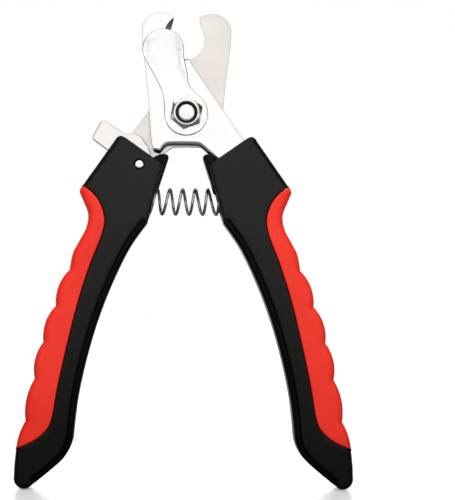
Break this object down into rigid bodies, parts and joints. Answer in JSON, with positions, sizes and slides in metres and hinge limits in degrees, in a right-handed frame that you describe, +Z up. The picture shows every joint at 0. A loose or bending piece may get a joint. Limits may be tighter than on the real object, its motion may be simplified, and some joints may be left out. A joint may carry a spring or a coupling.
{
  "type": "pet nail trimmer",
  "caption": "Plier-style pet nail trimmer with crossed notched blades, swinging nail guard, overmoulded handles, coil return spring and a lever that locks the handles shut.",
  "frame": {"origin": "centre of the flat end of the pivot bolt's head, on the plane that the back of the tool lies on", "axes": "+Z up towards the blade tips with the tool standing open on its handle ends, +Y out of the back along the pivot, +X to the right seen from the front"},
  "size_m": [0.1134, 0.0182, 0.1599],
  "materials": {
    "blade_steel": "polished",
    "guard_steel": "polished",
    "fastener_steel": "polished",
    "spring_steel": "polished",
    "nylon": "matte",
    "core_plastic": "satin",
    "soft_black": "matte",
    "red_rubber": "satin"
  },
  "bodies": {
    "left_half": {"left_handle_core": "core_plastic", "left_handle_skin": "soft_black", "left_finger_grip": "red_rubber", "rear_blade": "blade_steel", "pivot_bolt": "fastener_steel", "pivot_nut": "fastener_steel", "nut_lock_ring": "nylon", "pivot_washer": "fastener_steel", "lock_pin": "fastener_steel", "return_spring": "spring_steel"},
    "right_half": {"right_handle_core": "core_plastic", "right_handle_skin": "soft_black", "right_finger_grip": "red_rubber", "front_blade": "blade_steel"},
    "guard": {"nail_guard": "guard_steel"},
    "lever": {"lock_lever": "blade_steel"}
  },
  "joints": [
    {"name": "handle_pivot", "type": "hinge", "parent": "left_half", "child": "right_half", "pos_m": [0, -0.0075, 0], "axis": [0, 1, 0], "range_deg": [0, 30], "stiffness_Nm_per_rad": 0.7, "deforming": ["return_spring"]},
    {"name": "guard_swing", "type": "hinge", "parent": "right_half", "child": "guard", "pos_m": [0, -0.0114, 0], "axis": [0, -1, 0], "range_deg": [-95, 60]},
    {"name": "lock_lever_pivot", "type": "hinge", "parent": "left_half", "child": "lever", "pos_m": [-0.0156, -0.009, -0.0173], "axis": [0, 1, 0], "range_deg": [-6, 12]}
  ]
}
